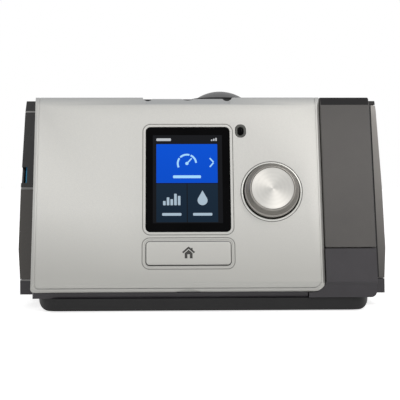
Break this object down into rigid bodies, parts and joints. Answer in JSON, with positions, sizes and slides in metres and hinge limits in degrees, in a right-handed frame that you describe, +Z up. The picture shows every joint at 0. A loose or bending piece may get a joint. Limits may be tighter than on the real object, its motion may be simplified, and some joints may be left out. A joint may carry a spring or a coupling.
{
  "type": "bilevel positive airway pressure machine",
  "caption": "Bedside bilevel airway pressure machine: leaned silver front with colour display, turn and press dial, home and start buttons, hinged doors, air outlet and slide-off side cover.",
  "frame": {"origin": "on the table, in the middle of the footprint's box", "axes": "+X right seen from the front, +Y to the back, +Z up; the front faces -Y"},
  "size_m": [0.2062, 0.15, 0.1209],
  "materials": {
    "silver_painted_abs": "satin silver lacquer over moulded plastic",
    "dark_moulded_abs": "fine spark texture, charcoal",
    "warm_grey_abs": "fine spark texture, warm dark grey",
    "flank_grey_abs": "fine spark texture, mid grey",
    "base_black_abs": "moulded, near black",
    "black_display_glass": "hard coated, high gloss black",
    "lcd_face": "colour display, lit",
    "brushed_aluminium": "spun brushed",
    "bright_ring": "bright plated plastic ring",
    "dial_grip": "smooth satin dark grey",
    "start_key_grey": "satin mid grey",
    "door_black": "semi gloss black",
    "door_warm": "satin dark warm grey",
    "card_blue": "smooth teal blue",
    "rubber_black": "moulded rubber",
    "seal_silicone": "red brown silicone",
    "steel_pin": "drawn steel",
    "circuit_board": "green solder mask",
    "connector_grey": "moulded",
    "duct_white": "moulded white",
    "blower_grey": "moulded grey",
    "foam_dark": "open cell foam",
    "winding_copper": "enamelled copper winding",
    "heater_aluminium": "anodised plate",
    "insulator_buff": "fibre board",
    "filter_fleece": "white fleece"
  },
  "bodies": {
    "housing": {"lower_case": "dark_moulded_abs", "upper_case": "dark_moulded_abs", "foot_plinth": "base_black_abs", "rubber_feet": "rubber_black", "front_fascia": "silver_painted_abs", "base_front_panel": "warm_grey_abs", "display_lens": "black_display_glass", "lcd_panel": "lcd_face", "display_gasket": "rubber_black", "dial_ring": "bright_ring", "light_sensor_window": "black_display_glass", "main_board": "circuit_board", "dial_encoder": "connector_grey", "home_switch": "connector_grey", "start_switch_board": "circuit_board", "start_button_ring": "dark_moulded_abs", "card_socket": "connector_grey", "speaker": "connector_grey", "power_inlet": "base_black_abs", "power_board": "circuit_board", "adapter_connector": "connector_grey", "blower_lower": "blower_grey", "blower_upper": "blower_grey", "motor_stator": "winding_copper", "blower_suspension": "rubber_black", "muffler_box": "blower_grey", "muffler_lid": "blower_grey", "muffler_foam": "foam_dark", "flow_sensor_tube": "duct_white", "bay_wall": "dark_moulded_abs", "outlet_duct": "duct_white", "air_outlet": "connector_grey", "outlet_seal": "rubber_black", "heater_deck": "dark_moulded_abs", "heater_plate": "heater_aluminium", "heater_insulator": "insulator_buff", "filter_frame": "duct_white", "air_filter": "filter_fleece", "door_hinge_pins": "steel_pin", "filter_hinge_pin": "steel_pin", "clip_pin": "steel_pin", "case_screws": "steel_pin", "bearings": "steel_pin"},
    "dial_press": {"dial_plunger": "steel_pin"},
    "dial": {"dial_knob": "dial_grip", "dial_cap": "brushed_aluminium"},
    "home_key": {"home_button": "silver_painted_abs"},
    "start_key": {"start_button": "start_key_grey"},
    "card_door": {"card_cover": "door_black"},
    "card": {"memory_card": "card_blue"},
    "adapter_door": {"adapter_cover": "door_warm"},
    "filter_door": {"filter_cover": "dark_moulded_abs"},
    "cord_clip": {"retention_clip": "warm_grey_abs"},
    "side_closure": {"side_cover": "warm_grey_abs", "side_flank": "flank_grey_abs", "side_duct": "connector_grey", "side_seals": "seal_silicone"},
    "blower_rotor": {"impeller": "duct_white", "rotor_shaft": "steel_pin"}
  },
  "joints": [
    {"name": "dial_press_slide", "type": "slide", "parent": "housing", "child": "dial_press", "axis": [0, 0.9659, -0.2588], "range_m": [0, 0.0005], "stiffness_N_per_m": 900},
    {"name": "dial_turn", "type": "hinge", "parent": "dial_press", "child": "dial", "pos_m": [0.0368, -0.06214, 0.06401], "axis": [0, -0.9659, 0.2588], "continuous": true},
    {"name": "home_press_slide", "type": "slide", "parent": "housing", "child": "home_key", "axis": [0, 0.9659, -0.2588], "range_m": [0, 0.0005], "stiffness_N_per_m": 900},
    {"name": "start_press_slide", "type": "slide", "parent": "housing", "child": "start_key", "axis": [0, 0, -1], "range_m": [0, 0.0008], "stiffness_N_per_m": 1500},
    {"name": "card_cover_hinge", "type": "hinge", "parent": "housing", "child": "card_door", "pos_m": [-0.0998, 0.016, 0.088], "axis": [0, 0, -1], "range_deg": [0, 80]},
    {"name": "card_push_slide", "type": "slide", "parent": "housing", "child": "card", "axis": [0, -0.9659, 0.2588], "range_m": [-0.001, 0.002]},
    {"name": "adapter_cover_hinge", "type": "hinge", "parent": "housing", "child": "adapter_door", "pos_m": [-0.0998, 0.016, 0.04], "axis": [0, 0, -1], "range_deg": [0, 80]},
    {"name": "filter_cover_hinge", "type": "hinge", "parent": "housing", "child": "filter_door", "pos_m": [-0.064, 0.066, 0.0383], "axis": [-1, 0, 0], "range_deg": [0, 90]},
    {"name": "retention_clip_hinge", "type": "hinge", "parent": "housing", "child": "cord_clip", "pos_m": [-0.012, 0.0656, 0.0414], "axis": [1, 0, 0], "range_deg": [0, 90]},
    {"name": "side_cover_slide", "type": "slide", "parent": "housing", "child": "side_closure", "axis": [1, 0, 0], "range_m": [0, 0.085]},
    {"name": "impeller_spin", "type": "hinge", "parent": "housing", "child": "blower_rotor", "pos_m": [-0.0345, 0.014, 0.05], "axis": [0, 0, 1], "continuous": true}
  ]
}
